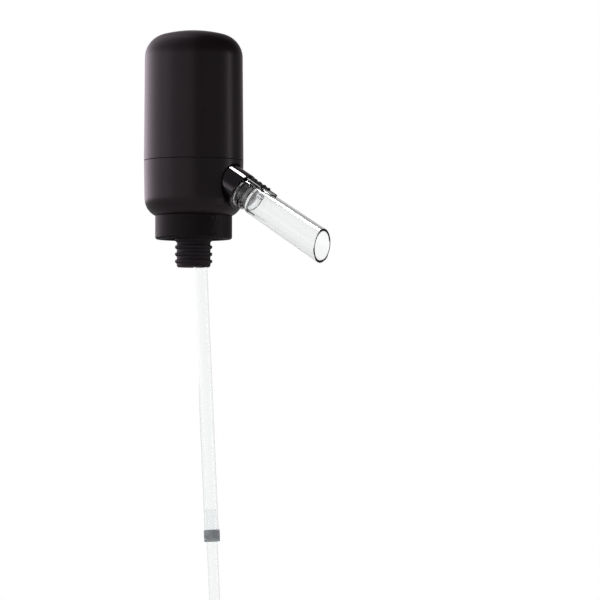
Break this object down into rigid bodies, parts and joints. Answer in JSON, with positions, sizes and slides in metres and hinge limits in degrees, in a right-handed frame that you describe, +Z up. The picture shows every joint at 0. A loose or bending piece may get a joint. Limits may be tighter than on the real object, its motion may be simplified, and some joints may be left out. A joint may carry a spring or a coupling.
{
  "type": "wine aerator",
  "caption": "Battery wine aerator and dispenser that plugs into a bottle's neck: round body, top button, air pump, telescoping dip tube and clear down-turned spout.",
  "frame": {"origin": "middle of the collar's lower rim, on the axis of body, collar and neck plug", "axes": "+Z up along the body's axis, +X level towards the spout, +Y to the left of the spout as seen from the body"},
  "size_m": [0.1017, 0.0502, 0.383],
  "materials": {
    "cover_plastic": "fine satin texture, charcoal black",
    "housing_plastic": "fine satin texture, charcoal black",
    "button_plastic": "smooth satin, charcoal black",
    "collar_plastic": "matt, dark charcoal",
    "socket_plastic": "polished black",
    "clear_plastic": "water clear, polished",
    "tube_plastic": "clear extruded tube",
    "soft_clear": "translucent silicone",
    "silicone": "matt black silicone",
    "black_rubber": "matt black rubber",
    "inner_plastic": "plain moulded, warm white",
    "white_plastic": "plain moulded, white",
    "switch_black": "plain moulded, black",
    "steel": "bright zinc",
    "motor_steel": "drawn can, satin",
    "magnet": "sintered ferrite, dark grey",
    "winding": "enamelled copper wire on iron poles",
    "brass": "turned brass",
    "contact": "plated spring brass",
    "cell_dark": "printed film sleeve, dark",
    "cell_copper": "printed film sleeve, copper",
    "board": "green solder mask",
    "lead": "red flexible insulation",
    "diaphragm_rubber": "matt rubber"
  },
  "bodies": {
    "pump_unit": {"lower_housing": "housing_plastic", "seam_ring": "black_rubber", "collar": "collar_plastic", "collar_screws": "steel", "neck_plug": "silicone", "spout_socket": "socket_plastic", "spigot_ring": "black_rubber", "outer_tube": "tube_plastic", "tube_seal": "soft_clear", "riser_barb": "white_plastic", "riser_hose": "soft_clear", "air_barb": "white_plastic", "air_hose": "soft_clear", "battery_carrier": "inner_plastic", "carrier_screws": "steel", "base_contacts": "contact", "battery_1": "cell_dark", "battery_2": "cell_copper", "battery_3": "cell_dark", "battery_4": "cell_copper", "battery_5": "cell_dark", "battery_6": "cell_copper", "top_contacts": "contact", "carrier_cap": "inner_plastic", "cap_screws": "steel", "motor_can": "motor_steel", "motor_magnets": "magnet", "motor_rear_cap": "white_plastic", "motor_screws": "steel", "motor_leads": "lead", "pump_frame": "white_plastic", "diaphragm": "diaphragm_rubber", "valve_plate": "white_plastic", "pump_head": "white_plastic", "pump_screws": "steel", "switch_board": "board", "board_screws": "steel", "switch_body": "switch_black"},
    "cover": {"upper_cover": "cover_plastic", "button_guide": "inner_plastic", "guide_screws": "steel", "button_spring": "steel"},
    "button": {"push_button": "button_plastic"},
    "plunger": {"switch_plunger": "inner_plastic"},
    "spout_piece": {"spout": "clear_plastic", "spout_grip": "black_rubber"},
    "sliding_tube": {"inner_tube": "tube_plastic"},
    "rotor": {"motor_armature": "winding", "motor_shaft": "steel", "eccentric": "brass"},
    "rod": {"connecting_rod": "white_plastic"}
  },
  "joints": [
    {"name": "cover_lift", "type": "slide", "parent": "pump_unit", "child": "cover", "axis": [0, 0, 1], "range_m": [0, 0.065]},
    {"name": "button_press", "type": "slide", "parent": "cover", "child": "button", "axis": [0, 0, -1], "range_m": [0, 0.001], "stiffness_N_per_m": 300, "springref_m": -0.002, "deforming": ["button_spring"]},
    {"name": "plunger_press", "type": "slide", "parent": "pump_unit", "child": "plunger", "axis": [0, 0, -1], "range_m": [0, 0.001]},
    {"name": "spout_pull", "type": "slide", "parent": "pump_unit", "child": "spout_piece", "axis": [0.8526, 0, -0.5225], "range_m": [0, 0.03]},
    {"name": "tube_slide", "type": "slide", "parent": "pump_unit", "child": "sliding_tube", "axis": [-0.0523, 0, 0.9986], "range_m": [0, 0.12]},
    {"name": "motor_spin", "type": "hinge", "parent": "pump_unit", "child": "rotor", "pos_m": [0, 0, 0.0375], "axis": [0, 0, 1], "continuous": true},
    {"name": "rod_orbit", "type": "hinge", "parent": "rotor", "child": "rod", "pos_m": [-0.0008, 0, 0.0375], "axis": [0, 0, 1], "continuous": true}
  ],
  "couplings": [
    {"joint": "plunger_press", "follows": "button_press", "ratio": 1},
    {"joint": "rod_orbit", "follows": "motor_spin", "ratio": -1}
  ]
}
